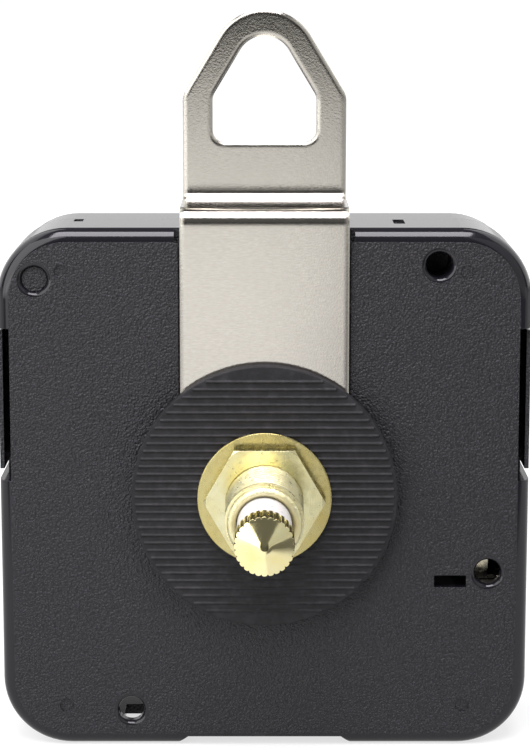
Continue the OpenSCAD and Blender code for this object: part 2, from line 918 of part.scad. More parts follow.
// Hand shafts
module hour_wheel() {
    upright()
        color([0.93, 0.92, 0.94])
            difference() {
                union() {
                    gear(hour_teeth, motion_module, hour_z, work_angle);
                    rod(hour_tube_d / 2, hour_end_z, hour_z - gear_t);
                }
                rod(minute_arbor_d / 2 + running_gap, hour_end_z + cut, hour_z - gear_t - cut);
            }
}

module minute_arbor() {
    upright()
        color([0.8, 0.7, 0.4])
            difference() {
                union() {
                    gear(minute_teeth, motion_module, work_z, work_angle);
                    rod(minute_arbor_d / 2, cap_z, work_z);
                    rod(minute_tip_d / 2, cap_z + minute_tip_l, cap_z);
                    rod(minute_neck_r, work_z, center_z - gear_t);
                }
                rod(second_arbor_d / 2 + running_gap, cap_apex_z, center_z - gear_t - cut);
            }
}

// Each ridge of the knurl is a round swell with a sharp valley on either side
module cap_nut() {
    rim = cap_d / 2;
    steps = 3;
    upright()
        color([0.9, 0.82, 0.55])
            difference() {
                intersection() {
                    slab(cap_apex_z, cap_apex_z - cap_z)
                        polygon([for (i = [0:cap_ridges - 1], k = [-steps:steps - 1])
                            let (share = k / steps / 2, swell = sqrt(1 - pow(2 * share, 2)))
                            polar(rim - cap_knurl * (1 - swell),
                                  360 / cap_ridges * (i + share))]);
                    rotate_extrude()
                        polygon([[0, cap_z], [rim - cap_knurl, cap_z], [rim, cap_z + cap_knurl],
                                 [rim, cap_rim_z], [0, cap_apex_z]]);
                }
                rod(minute_tip_d / 2 + press_gap, cap_z + cap_bore_l, cap_z - cut);
            }
}

module second_arbor() {
    upright()
        color([0.7, 0.7, 0.72]) {
            rod(second_arbor_d / 2, second_end_z, bridge_z + end_play);
            rod(pivot_r, bridge_z + end_play, bridge_back_z + end_play);
        }
}

// Going train
module second_wheel() {
    upright()
        color([0.88, 0.88, 0.86])
            difference() {
                union() {
                    gear(second_teeth, second_module, second_z, inter_angle);
                    gear(leaves, third_module, third_z, third_angle);
                    rod(core_r(leaves, third_module), third_z, inter_z);
                }
                rod(second_arbor_d / 2 + press_gap, third_z + cut, inter_z - cut);
            }
}

module third_wheel() {
    upright()
        at(third_at)
            color([0.88, 0.87, 0.8]) {
                gear(third_teeth, third_module, third_z,
                     mesh_phase(third_angle, third_angle, leaves, third_teeth));
                gear(leaves, center_module, center_z, third_angle + 180);
                rod(core_r(leaves, center_module), center_z, third_z);
                pivoted_arbor(arbor_r, arbor_front_z - end_play, bridge_z + end_play);
            }
}

module center_wheel() {
    arms = 3;
    slot_w = 0.5;
    slot_out = 1.7;
    slot_r = minute_neck_r + slot_out;
    upright()
        color([0.86, 0.86, 0.84])
            difference() {
                gear(center_teeth, center_module, center_z,
                     mesh_phase(third_angle + 180, third_angle + 180, leaves, center_teeth));
                rod(minute_neck_r + running_gap, center_z + cut, center_z - gear_t - cut);
                for (i = [0:arms - 1])
                    rotate([0, 0, i * 360 / arms])
                        slab(center_z + cut, gear_t + 2 * cut)
                            intersection() {
                                difference() {
                                    circle(slot_r + slot_w);
                                    circle(slot_r);
                                }
                                polygon([[0, 0], polar(9, 10), polar(9, 60), polar(9, 100)]);
                            }
            }
}

module intermediate_wheel() {
    upright()
        at(inter_at)
            color([0.85, 0.86, 0.88]) {
                gear(rotor_wheel_teeth, rotor_module, inter_z, rotor_angle);
                gear(leaves, second_module, second_z,
                     mesh_phase(inter_angle, inter_angle, second_teeth, leaves));
                rod(core_r(leaves, second_module), second_z, inter_z);
                pivoted_arbor(arbor_r, arbor_front_z - end_play, bridge_z + end_play);
            }
}

module rotor_pinion() {
    collar_r = 1.1;
    upright()
        at(rotor_at)
            color([0.9, 0.9, 0.88]) {
                gear(leaves, rotor_module, inter_z,
                     mesh_phase(rotor_angle, rotor_angle, rotor_wheel_teeth, leaves));
                rod(rotor_core_r, third_z, inter_z);
                rod(collar_r, second_z - gear_t, inter_z);
                pivoted_arbor(arbor_r, rotor_front_z - end_play, bridge_z + end_play);
            }
}

module rotor_magnet() {
    upright()
        at(rotor_at)
            color([0.3, 0.3, 0.32])
                difference() {
                    rod(magnet_d / 2, third_z, second_z - gear_t);
                    rod(rotor_core_r + press_gap, third_z + cut, second_z - gear_t - cut);
                }
}

// Motion work and setting
work_phase = mesh_phase(work_angle, work_angle, minute_teeth, work_teeth);

module minute_work_wheel() {
    upright()
        at(work_at)
            color([0.9, 0.9, 0.92])
                difference() {
                    union() {
                        gear(work_teeth, motion_module, work_z, work_phase);
                        gear(work_leaves, motion_module, hour_z,
                             mesh_phase(work_angle, work_angle, hour_teeth, work_leaves));
                        rod(core_r(work_leaves, motion_module), hour_z, work_z - gear_t);
                    }
                    rod(stud_r + running_gap, hour_z + cut, work_z - gear_t - cut);
                }
}

module setting_pinion() {
    end_r = set_shaft_r - 0.2;
    upright()
        at(set_at)
            color([0.9, 0.9, 0.92]) {
                gear(minute_teeth, motion_module, work_z,
                     mesh_phase(set_angle, work_phase, work_teeth, minute_teeth));
                rod(set_pivot_r, work_z + pivot_l, work_z);
                rod(set_shaft_r, work_z, knob_front_z);
                rod(end_r, knob_front_z, knob_back_z + 0.4);
            }
}

module set_knob() {
    groove_r = 0.45;
    upright()
        at(set_at)
            color([0.85, 0.85, 0.86])
                difference() {
                    rod(knob_d / 2, knob_front_z, knob_back_z);
                    for (i = [0:knob_grooves - 1])
                        rotate([0, 0, i * 360 / knob_grooves])
                            translate([knob_d / 2 + groove_r / 3, 0, 0])
                                rod(groove_r, knob_front_z + cut, knob_back_z - cut);
                    rod(set_shaft_r - 0.2 + press_gap, knob_front_z + cut, knob_back_z + 0.4);
                }
}

module train_bridge() {
    low = [pillars[0][0] - bridge_margin, pillars[2][1] - bridge_margin];
    high = [pillars[1][0] + bridge_margin, pillars[1][1] + bridge_margin];
    upright()
        color([0.82, 0.82, 0.8])
            difference() {
                union() {
                    slab(bridge_z, bridge_t)
                        translate((low + high) / 2)
                            rounded_square(high[0] - low[0], high[1] - low[1], bridge_margin);
                    for (place = board_pegs)
                        at(board_at + place) {
                            rod(1.4, bridge_back_z, board_z);
                            rod(peg_r, board_z, board_back_z - 0.4);
                        }
                }
                for (place = pillars)
                    at(place)
                        rod(peg_r + peg_gap, bridge_z + cut, bridge_back_z - cut);
                for (place = [[0, 0], third_at, inter_at, rotor_at])
                    at(place)
                        bearing_bore(bridge_z + cut, bridge_back_z - cut);
                at(set_at)
                    rod(set_shaft_r + running_gap, bridge_z + cut, bridge_back_z - cut);
            }
}

// Motor
module stator_arm(from, to) {
    run = to - from;
    translate(from)
        rotate([0, 0, atan2(run[1], run[0])])
            translate([0, -arm_w / 2])
                square([norm(run), arm_w]);
}

module stator() {
    ring_r = stator_bore_r + stator_ring;
    nick_r = 0.55;
    arm_in = 0.4;
    upright()
        color([0.55, 0.56, 0.58])
            slab(stator_z, stator_t)
                difference() {
                    union() {
                        translate(rotor_at)
                            circle(ring_r);
                        for (x = [-1, 1]) {
                            foot = coil_at + [x * coil_post_x, 0];
                            elbow = [foot[0], elbow_y];
                            translate(foot)
                                circle(foot_r);
                            translate(elbow)
                                circle(arm_w / 2);
                            stator_arm(foot, elbow);
                            stator_arm(elbow, rotor_at + [x * (stator_bore_r - arm_in),
                                                          arm_w / 2]);
                        }
                    }
                    translate(rotor_at)
                        circle(stator_bore_r);
                    for (y = [-1, 1])
                        translate(rotor_at + polar(ring_r, 90 * y))
                            circle(nick_r);
                    for (x = [-1, 1])
                        translate(coil_at + [x * coil_post_x, 0])
                            circle(peg_r + peg_gap);
                }
}

module coil_core() {
    upright()
        color([0.6, 0.6, 0.62])
            at(coil_at)
                difference() {
                    slab(core_front_z, core_t) {
                        square([2 * core_half, core_w], center = true);
                        for (x = [-1, 1])
                            translate([x * coil_post_x, 0])
                                circle(foot_r);
                    }
                    for (x = [-1, 1])
                        translate([x * coil_post_x, 0, 0])
                            rod(peg_r + peg_gap, core_front_z + cut, core_front_z - core_t - cut);
                }
}

module along_coil(start, stop) {
    translate([coil_at[0] + start, coil_at[1], coil_z])
        rotate([0, 90, 0])
            linear_extrude(stop - start)
                children();
}

bobbin_r = norm([core_w, core_t]) / 2 + core_gap + 0.4;

module coil_bobbin() {
    cheek = winding_l / 2 + cheek_t;
    upright()
        color([0.2, 0.35, 0.6])
            difference() {
                union() {
                    along_coil(-cheek, cheek)
                        circle(bobbin_r);
                    along_coil(-cheek, -cheek + cheek_t)
                        circle(cheek_r);
                    along_coil(cheek - cheek_t, cheek)
                        circle(cheek_r);
                }
                along_coil(-cheek - cut, cheek + cut)
                    square([core_t + 2 * core_gap, core_w + 2 * core_gap], center = true);
            }
}

module coil_winding() {
    wire_gap = 0.02;
    upright()
        color([0.72, 0.35, 0.16])
            along_coil(-winding_l / 2 + wire_gap, winding_l / 2 - wire_gap)
                difference() {
                    circle(winding_d / 2);
                    circle(bobbin_r + wire_gap);
                }
}

// Circuit
module circuit_board() {
    upright()
        color([0.1, 0.35, 0.2])
            at(board_at)
                difference() {
                    slab(board_z, board_t)
                        square([board_w, board_h]);
                    for (place = board_pegs)
                        at(place)
                            rod(peg_r + peg_gap, board_z + cut, board_back_z - cut);
                    at(pillars[3] - board_at)
                        rod(peg_r + 0.3, board_z + cut, board_back_z - cut);
                }
}

module chip_blob() {
    dome_r = (chip_r * chip_r + chip_h * chip_h) / (2 * chip_h);
    upright()
        color([0.05, 0.05, 0.05])
            at(board_at + chip_at)
                intersection() {
                    translate([0, 0, board_back_z - chip_h + dome_r])
                        sphere(dome_r);
                    rod(chip_r + cut, board_back_z, board_back_z - chip_h - cut);
                }
}

module quartz_crystal() {
    axis_z = board_back_z - crystal_d / 2;
    upright()
        color([0.75, 0.76, 0.78])
            translate([board_at[0] + crystal_at[0], board_at[1] + crystal_at[1], axis_z])
                rotate([0, 90, 0]) {
                    cylinder(d = crystal_d, h = crystal_l);
                    for (side = [-1, 1])
                        translate([0, side * lead_spread, -lead_l])
                            cylinder(r = lead_r, h = lead_l + 0.5, $fn = 16);
                }
}

module contact_plus() {
    web_y = bay_roof + wall_play;
    top = bay_roof + contact_rise;
    dimple_r = 1.9;
    dimple_h = 0.3;
    finger_w = 2;
    upright()
        color([0.8, 0.79, 0.75]) {
            span([contact_x, contact_low, contact_back_z],
                 [contact_x + contact_t, bay_top - wall_play, contact_front_z]);
            span([contact_x, bay_top - 1, tab_z - pass_w],
                 [contact_x + contact_t, web_y + contact_t, tab_z]);
            span([tab_left, web_y, tab_z - pass_w],
                 [contact_x + contact_t, web_y + contact_t, tab_z]);
            span([tab_left, web_y, tab_z - contact_t], [tab_right, top, tab_z]);
            span([tab_left, top - contact_t, board_z], [tab_left + finger_w, top, tab_z]);
            translate([contact_x - dimple_h, cell_axis_y,
                       (contact_front_z + contact_back_z) / 2])
                rotate([0, 90, 0])
                    cylinder(r = dimple_r, h = dimple_h + contact_t / 2);
        }
}

// Bowed leaf: a slice of a tube whose crown stands into the bay
module contact_leaf() {
    bow_r = (leaf_h * leaf_h / 4 + leaf_rise * leaf_rise) / (2 * leaf_rise);
    leaf_w = contact_w * 0.6;
    translate([-contact_x + leaf_rise - bow_r, leaf_mid_y,
               (contact_front_z + contact_back_z - leaf_w) / 2])
        linear_extrude(leaf_w)
            intersection() {
                difference() {
                    circle(bow_r, $fn = 96);
                    circle(bow_r - contact_t, $fn = 96);
                }
                translate([bow_r - leaf_rise - contact_t / 2, -leaf_h])
                    square([leaf_rise + contact_t, 2 * leaf_h]);
            }
}

module contact_minus() {
    rail_y = bay_roof + wall_play;
    pad = 2.4;
    upright()
        color([0.8, 0.79, 0.75]) {
            span([-contact_x - contact_t, contact_low, contact_back_z],
                 [-contact_x, bay_top - wall_play, contact_front_z]);
            span([-contact_x - contact_t, bay_top - 1, board_back_z - rail_w],
                 [-contact_x, rail_y + contact_t, rail_front_z]);
            span([-contact_x - contact_t, rail_y, board_back_z - rail_w],
                 [board_at[0] + pad, rail_y + contact_t, board_back_z]);
            span([board_at[0], rail_y, board_back_z - contact_t],
                 [board_at[0] + pad, board_at[1] + pad, board_back_z]);
            contact_leaf();
        }
}

front_case();
back_cover();
center_bushing();
hanger();
rubber_washer();
brass_washer();
hex_nut();
hour_wheel();
minute_arbor();
cap_nut();
second_arbor();
second_wheel();
third_wheel();
center_wheel();
intermediate_wheel();
rotor_pinion();
rotor_magnet();
minute_work_wheel();
setting_pinion();
set_knob();
train_bridge();
stator();
coil_core();
coil_bobbin();
coil_winding();
circuit_board();
chip_blob();
quartz_crystal();
contact_plus();
contact_minus();
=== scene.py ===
"""Looks of the quartz clock movement: materials, threaded bushing, studio and camera."""

import math

import bmesh
import bpy
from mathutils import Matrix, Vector

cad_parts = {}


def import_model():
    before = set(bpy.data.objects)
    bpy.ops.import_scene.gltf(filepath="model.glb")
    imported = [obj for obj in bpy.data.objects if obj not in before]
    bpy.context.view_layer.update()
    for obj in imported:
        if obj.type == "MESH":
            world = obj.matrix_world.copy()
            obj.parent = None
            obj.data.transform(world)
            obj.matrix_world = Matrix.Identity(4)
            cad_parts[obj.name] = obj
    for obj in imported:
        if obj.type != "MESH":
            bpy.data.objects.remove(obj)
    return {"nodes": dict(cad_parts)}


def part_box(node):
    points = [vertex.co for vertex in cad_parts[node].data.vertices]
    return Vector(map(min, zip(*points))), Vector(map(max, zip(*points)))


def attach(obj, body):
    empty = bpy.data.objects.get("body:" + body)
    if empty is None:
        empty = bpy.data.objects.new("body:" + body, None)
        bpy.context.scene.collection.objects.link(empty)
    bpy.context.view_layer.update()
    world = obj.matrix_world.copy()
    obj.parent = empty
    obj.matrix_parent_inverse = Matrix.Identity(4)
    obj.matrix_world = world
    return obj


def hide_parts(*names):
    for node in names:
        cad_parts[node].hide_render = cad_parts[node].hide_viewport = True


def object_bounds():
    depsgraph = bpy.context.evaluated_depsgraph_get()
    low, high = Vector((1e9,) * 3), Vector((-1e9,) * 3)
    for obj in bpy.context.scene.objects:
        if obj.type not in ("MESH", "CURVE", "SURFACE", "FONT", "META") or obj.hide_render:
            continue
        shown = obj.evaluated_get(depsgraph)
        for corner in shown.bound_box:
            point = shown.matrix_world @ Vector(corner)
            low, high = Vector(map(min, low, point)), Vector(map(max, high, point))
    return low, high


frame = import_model()
nodes = frame["nodes"]
cad_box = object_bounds()

MM = 0.001

# The photograph's height in pixels
IMAGE_H = 750

# Places of a Mix node's two inputs and of its result, for numbers and for colours
MIX_SOCKETS = {"FLOAT": (2, 3, 0), "RGBA": (6, 7, 2)}

# Most of a noise texture lies between these values
NOISE_SPAN = (0.3, 0.7)


# Node trees
class Graph:
    """A node tree, with short calls for the nodes that the materials and the studio share."""

    def __init__(self, tree):
        self.tree = tree

    def node(self, kind, **settings):
        made = self.tree.nodes.new(kind)
        for key, value in settings.items():
            setattr(made, key, value)
        return made

    def feed(self, socket, value):
        """Give a socket a number, a colour or the output of another node."""
        if isinstance(value, bpy.types.NodeSocket):
            self.tree.links.new(value, socket)
        elif isinstance(value, tuple):
            socket.default_value = (*value, 1)
        else:
            socket.default_value = value

    def math(self, operation, *values):
        made = self.node("ShaderNodeMath", operation=operation)
        for socket, value in zip(made.inputs, values):
            self.feed(socket, value)
        return made.outputs["Value"]

    def most(self, first, *others):
        """The largest of some values."""
        for other in others:
            first = self.math("MAXIMUM", first, other)
        return first

    def ramp(self, value, span, result=(0.0, 1.0), curve="LINEAR"):
        """Go from result[0] to result[1] while value goes through span, and stay level beyond."""
        made = self.node("ShaderNodeMapRange", interpolation_type=curve)
        self.feed(made.inputs["Value"], value)
        limits = ("From Min", "From Max", "To Min", "To Max")
        for key, number in zip(limits, (*span, *result)):
            made.inputs[key].default_value = number
        return made.outputs["Result"]

    def smooth(self, value, span, result=(0.0, 1.0)):
        return self.ramp(value, span, result, "SMOOTHSTEP")

    def mix(self, factor, first, second, data_type="RGBA"):
        made = self.node("ShaderNodeMix", data_type=data_type)
        first_in, second_in, mixed = MIX_SOCKETS[data_type]
        self.feed(made.inputs["Factor"], factor)
        self.feed(made.inputs[first_in], first)
        self.feed(made.inputs[second_in], second)
        return made.outputs[mixed]

    def parts(self, vector):
        """The X, Y and Z of a vector."""
        made = self.node("ShaderNodeSeparateXYZ")
        self.feed(made.inputs["Vector"], vector)
        return made.outputs


class Material(Graph):
    """A principled material with patterns in object coordinates.

    The scale of a pattern counts its features per metre.
    """

    def __init__(self, name, **sockets):
        self.mat = bpy.data.materials.new(name)
        self.mat.use_nodes = True
        super().__init__(self.mat.node_tree)
        self.shader = self.tree.nodes["Principled BSDF"]
        for key, value in sockets.items():
            self.shader.inputs[key.replace("_", " ")].default_value = value
        coordinates = self.node("ShaderNodeTexCoord").outputs
        self.place = coordinates["Object"]
        self.facing = coordinates["Normal"]
        self.normal = None

    def mapped(self, scale=(1, 1, 1), turn=(0, 0, 0)):
        """Object coordinates, stretched or turned."""
        made = self.node("ShaderNodeMapping")
        made.inputs["Scale"].default_value = scale
        made.inputs["Rotation"].default_value = turn
        self.feed(made.inputs["Vector"], self.place)
        return made.outputs["Vector"]

    def texture(self, kind, numbers, vector=None, **settings):
        made = self.node(kind, **settings)
        for key, number in numbers.items():
            made.inputs[key].default_value = number
        self.feed(made.inputs["Vector"], vector or self.place)
        return made.outputs

    def noise(self, scale, detail=3.0, roughness=0.5, vector=None):
        numbers = {"Scale": scale, "Detail": detail, "Roughness": roughness}
        return self.texture("ShaderNodeTexNoise", numbers, vector)["Fac"]

    def varied(self, noise, low, high):
        """A number that a noise moves between low and high."""
        return self.ramp(noise, NOISE_SPAN, (low, high))

    def color(self, source):
        self.feed(self.shader.inputs["Base Color"], source)

    def rough(self, source):
        self.feed(self.shader.inputs["Roughness"], source)

    def edges(self, radius, samples=6):
        """Let sharp edges catch the light as rounded ones do; it comes before any bump."""
        made = self.node("ShaderNodeBevel", samples=samples)
        made.inputs["Radius"].default_value = radius
        self.normal = made.outputs["Normal"]

    def bump(self, height, distance, strength):
        made = self.node("ShaderNodeBump")
        made.inputs["Strength"].default_value = strength
        made.inputs["Distance"].default_value = distance
        self.feed(made.inputs["Height"], height)
        if self.normal:
            self.feed(made.inputs["Normal"], self.normal)
        self.normal = made.outputs["Normal"]

    def done(self):
        self.feed(self.shader.inputs["Normal"], self.normal)
        return self.mat


def shade(color, factor, lift=0.0):
    """A lighter or darker tone of a colour."""
    return tuple(part * factor + lift for part in color)


# Materials
def case_plastic(name, color):
    """Moulded charcoal plastic: spark-grained on the front and back, smooth on edges and walls."""
    flat_from = 0.995
    wall_roughness = 0.11
    m = Material(name, Specular_IOR_Level=0.42)
    m.edges(0.08 * MM)
    sparks = m.texture("ShaderNodeTexVoronoi", {"Scale": 4600})["Distance"]
    fine = m.noise(scale=3500, detail=2.0, roughness=0.65)
    mottle = m.noise(scale=1500, roughness=0.6)
    flat = m.math("GREATER_THAN", m.math("ABSOLUTE", m.parts(m.facing)["Y"]), flat_from)
    dark = shade(color, 0.25)
    pale = shade(color, 1.8)
    light = shade(color, 4.5, lift=0.02)
    tone = m.mix(m.ramp(fine, (0.34, 0.66)), dark, pale)
    grained = m.mix(m.ramp(sparks, (0.05, 0.3), (0.8, 0.0)), tone, light)
    m.color(m.mix(flat, color, grained))
    m.rough(m.mix(flat, wall_roughness, m.varied(mottle, 0.4, 0.58), "FLOAT"))
    grain = m.math("MULTIPLY", m.math("SUBTRACT", fine, sparks), flat)
    m.bump(grain, distance=0.12 * MM, strength=0.9)
    return m.done()


def brushed_steel(name, color):
    """Plated sheet with rolled edges: faint lines across it, fine specks and cloudy rolling marks."""
    line_scale = (1600, 8000, 8000)
    m = Material(name, Metallic=1.0)
    m.edges(0.8 * MM, samples=8)
    lines = m.noise(scale=1.0, detail=2.0, roughness=0.6, vector=m.mapped(scale=line_scale))
    clouds = m.noise(scale=160, detail=4.0)
    specks = m.noise(scale=5200, detail=2.0, roughness=0.65)
    lined = m.mix(m.varied(lines, 0, 1), shade(color, 0.9), shade(color, 1.06))
    m.color(m.mix(m.ramp(clouds, (0.35, 0.75), (0.0, 0.6)), lined, color))
    m.rough(m.varied(clouds, 0.07, 0.12))
    m.bump(lines, distance=0.002 * MM, strength=0.5)
    m.bump(specks, distance=0.008 * MM, strength=0.7)
    return m.done()


def turned_metal(name, color, roughness, rings=True, grain=0.0, edge=0.07 * MM):
    """Bare metal with a slightly uneven tint, turning rings about the shaft axis and a grain."""
    warmth = (1.0, 0.93, 0.72)
    m = Material(name, Metallic=1.0)
    m.edges(edge)
    warm = tuple(part * share for part, share in zip(color, warmth))
    m.color(m.mix(m.ramp(m.noise(scale=420), (0.35, 0.75)), color, warm))
    wear = m.noise(scale=1500, detail=4.0)
    m.rough(m.varied(wear, roughness * 0.75, roughness * 1.5))
    if rings:
        place = m.parts(m.place)
        squares = [m.math("MULTIPLY", place[axis], place[axis]) for axis in "XZ"]
        turned = m.node("ShaderNodeTexNoise", noise_dimensions="1D")
        turned.inputs["Scale"].default_value = 9000
        m.feed(turned.inputs["W"], m.math("SQRT", m.math("ADD", *squares)))
        m.bump(turned.outputs["Fac"], distance=0.004 * MM, strength=0.5)
    if grain:
        m.bump(m.noise(scale=4200, roughness=0.7), distance=grain, strength=0.8)
    return m.done()


def plain_plastic(name, color, roughness, flow_marks=0.04):
    """Moulded plastic with faint flow marks and a fine skin."""
    m = Material(name)
    m.edges(0.05 * MM, samples=4)
    darker = shade(color, 1 - 2 * flow_marks)
    m.color(m.mix(m.ramp(m.noise(scale=260), (0.35, 0.7)), color, darker))
    m.rough(m.varied(m.noise(scale=1800), roughness * 0.85, roughness * 1.2))
    m.bump(m.noise(scale=3600, detail=2.0), distance=0.006 * MM, strength=0.5)
    return m.done()


def rubber(name, color):
    """Dull black rubber with a dusty bloom on its ribs."""
    m = Material(name, Specular_IOR_Level=0.34)
    m.edges(0.2 * MM, samples=8)
    bloom = m.noise(scale=900, detail=4.0, roughness=0.65)
    m.color(m.mix(m.ramp(bloom, (0.48, 0.8)), color, shade(color, 2.1, lift=0.006)))
    m.rough(m.varied(m.noise(scale=2400), 0.55, 0.75))
    m.bump(m.noise(scale=5200), distance=0.02 * MM, strength=0.7)
    return m.done()


def wound_copper(name, color):
    """Enamelled wire laid in turns round the coil's axis, along X, with painted shade in the grooves
    between the turns.
    """
    m = Material(name, Metallic=1.0)
    turns = m.texture("ShaderNodeTexWave", {"Scale": 1400, "Distortion": 0.4},
                      wave_type="BANDS", bands_direction="X")["Fac"]
    # Painted shade: the copper is darker where the wave is low, in the grooves between the turns
    m.color(m.mix(turns, shade(color, 0.55), color))
    m.rough(m.varied(m.noise(scale=1200), 0.22, 0.36))
    m.bump(turns, distance=0.05 * MM, strength=0.8)
    return m.done()


def circuit_laminate(name, color):
    """Green solder mask with faint tracks under it."""
    m = Material(name, Coat_Weight=0.3)
    upright = m.mapped(turn=(math.pi / 2, 0, 0))
    tracks = m.texture("ShaderNodeTexBrick", {"Scale": 420}, upright)["Fac"]
    m.color(m.mix(tracks, color, shade(color, 1.6, lift=0.01)))
    m.rough(m.varied(m.noise(scale=900), 0.28, 0.42))
    m.bump(m.noise(scale=2600), distance=0.01 * MM, strength=0.5)
    return m.done()


# Colours
CASE_FRONT = (0.0085, 0.008, 0.0106)
CASE_BACK = (0.0105, 0.01, 0.0125)
WASHER_BLACK = (0.0095, 0.009, 0.0105)
CHIP_BLACK = (0.012, 0.012, 0.012)
KNOB_GREY = (0.10, 0.10, 0.11)
TUBE_WHITE = (0.66, 0.64, 0.635)
ACETAL_WARM = (0.78, 0.77, 0.72)
ACETAL_COOL = (0.74, 0.76, 0.79)
BRIDGE_WHITE = (0.72, 0.72, 0.70)
BOBBIN_BLUE = (0.05, 0.14, 0.42)
BOARD_GREEN = (0.03, 0.17, 0.07)
BRASS = (0.48, 0.425, 0.195)
BRASS_NUT = (0.63, 0.61, 0.395)
BRASS_THREAD = (0.74, 0.70, 0.45)
BRASS_CAP = (0.84, 0.78, 0.46)
STEEL_PLATED = (0.485, 0.46, 0.41)
STEEL_GROUND = (0.62, 0.62, 0.64)
SOFT_IRON = (0.48, 0.48, 0.5)
MAGNET_GREY = (0.16, 0.16, 0.17)
NICKEL = (0.72, 0.70, 0.64)
COPPER = (0.72, 0.30, 0.13)

# Looks that several pieces share
acetal = plain_plastic("acetal", ACETAL_WARM, 0.4)
acetal_cool = plain_plastic("acetal_cool", ACETAL_COOL, 0.4)
soft_iron = turned_metal("soft_iron", SOFT_IRON, 0.34, rings=False)
nickel = turned_metal("nickel_strip", NICKEL, 0.22, rings=False)
brass_thread = turned_metal("brass_thread", BRASS_THREAD, 0.3, grain=0.13 * MM)

LOOKS = {
    "front_case": case_plastic("case_front", CASE_FRONT),
    "back_cover": case_plastic("case_back", CASE_BACK),
    "hanger": brushed_steel("hanger_plate", STEEL_PLATED),
    "rubber_washer": rubber("washer_rubber", WASHER_BLACK),
    "brass_washer": turned_metal("brass_washer", BRASS, 0.22, edge=0.2 * MM),
    "hex_nut": turned_metal("brass_nut", BRASS_NUT, 0.2),
    "center_bushing": brass_thread,
    "hour_wheel": plain_plastic("hour_white", TUBE_WHITE, 0.3, flow_marks=0.02),
    "minute_arbor": turned_metal("brass_arbor", BRASS, 0.2),
    "cap_nut": turned_metal("brass_cap", BRASS_CAP, 0.1, rings=False, edge=0.04 * MM),
    "second_arbor": turned_metal("ground_steel", STEEL_GROUND, 0.2, rings=False),
    "second_wheel": acetal,
    "third_wheel": acetal,
    "center_wheel": acetal_cool,
    "intermediate_wheel": acetal_cool,
    "rotor_pinion": acetal,
    "rotor_magnet": turned_metal("magnet", MAGNET_GREY, 0.5, rings=False),
    "minute_work_wheel": acetal_cool,
    "setting_pinion": acetal,
    "set_knob": plain_plastic("knob_grey", KNOB_GREY, 0.38, flow_marks=0.08),
    "train_bridge": plain_plastic("bridge_white", BRIDGE_WHITE, 0.4),
    "stator": soft_iron,
    "coil_core": soft_iron,
    "coil_bobbin": plain_plastic("bobbin_blue", BOBBIN_BLUE, 0.35, flow_marks=0.08),
    "coil_winding": wound_copper("winding_copper", COPPER),
    "circuit_board": circuit_laminate("board_green", BOARD_GREEN),
    "chip_blob": plain_plastic("chip_resin", CHIP_BLACK, 0.22, flow_marks=0.1),
    "quartz_crystal": nickel,
    "contact_plus": nickel,
    "contact_minus": nickel,
}
for name, look in LOOKS.items():
    mesh = nodes[name].data
    mesh.materials.clear()
    mesh.materials.append(look)


# Bushing with its real thread, in place of the CAD node's plain cylinder
FLANGE_T = 0.8 * MM
BORE_R = 2.825 * MM
BORE_CHAMFER = 0.35 * MM
COLLAR_R = 3.75 * MM
COLLAR_L = 1.0 * MM
COLLAR_CHAMFER = 0.25 * MM
THREAD_R = 4.0 * MM
THREAD_PITCH = 0.75 * MM
THREAD_DEPTH = 0.2 * MM
# How flat the crests and roots are, from 0 for a sharp thread
THREAD_FLAT = 0.15
# The neck at the flange is this much thinner than the thread, and this long
NECK_STEP = 0.1 * MM
NECK_L = 0.3 * MM
ROWS_PER_TURN = 10
SEGMENTS = 72
SHARP_FROM = math.radians(50)


def bushing_rows():
    """Rings round the bushing's outline, as radius, y and how much of the thread's depth is cut."""
    low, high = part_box("center_bushing")
    flange_r = high.x
    face_y = high.y - FLANGE_T
    thread_start = face_y - NECK_L
    thread_end = low.y + COLLAR_L
    rows = [(BORE_R, high.y, 0), (flange_r, high.y, 0), (flange_r, face_y, 0),
            (THREAD_R - NECK_STEP, face_y, 0)]
    steps = int((thread_start - thread_end) / THREAD_PITCH * ROWS_PER_TURN)
    for i in range(steps + 1):
        fade = min(1, i / ROWS_PER_TURN, (steps - i) / ROWS_PER_TURN)
        rows.append((THREAD_R, thread_start - i * THREAD_PITCH / ROWS_PER_TURN, fade))
    rows += [(COLLAR_R, thread_end, 0), (COLLAR_R, low.y + COLLAR_CHAMFER, 0),
             (COLLAR_R - COLLAR_CHAMFER, low.y, 0), (BORE_R + BORE_CHAMFER, low.y, 0),
             (BORE_R, low.y + BORE_CHAMFER, 0)]
    return rows


def thread_cut(y, turn):
    """Share of the thread's depth at a place, 0 on a crest and 1 in a root; turn goes from 0 to 1."""
    wave = abs(((y / THREAD_PITCH - turn) % 1) * 2 - 1)
    return min(1, max(0, wave * (1 + 2 * THREAD_FLAT) - THREAD_FLAT))


def threaded_bushing(look):
    mesh = bmesh.new()
    rings = []
    for radius, y, fade in bushing_rows():
        ring = []
        for j in range(SEGMENTS):
            turn = j / SEGMENTS
            angle = turn * 2 * math.pi
            r = radius - THREAD_DEPTH * fade * thread_cut(y, turn)
            ring.append(mesh.verts.new((r * math.cos(angle), y, r * math.sin(angle))))
        rings.append(ring)
    for here, there in zip(rings, rings[1:] + rings[:1]):
        for j in range(SEGMENTS):
            k = (j + 1) % SEGMENTS
            mesh.faces.new((here[j], here[k], there[k], there[j]))
    bmesh.ops.recalc_face_normals(mesh, faces=mesh.faces)
    data = bpy.data.meshes.new("threaded_bushing")
    mesh.to_mesh(data)
    mesh.free()
    data.shade_smooth()
    data.set_sharp_from_angle(angle=SHARP_FROM)
    data.materials.append(look)
    made = bpy.data.objects.new("threaded_bushing", data)
    bpy.context.collection.objects.link(made)
    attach(made, "movement")
    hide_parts("center_bushing")


threaded_bushing(brass_thread)


# Studio: white floor, softboxes above, at both sides and behind, and a dim room
WHITE = (1.0, 1.0, 1.0)
FLOOR_REACH = 6.0
FLOOR_GAP = 0.02 * MM
FLOOR_TONE = 0.3

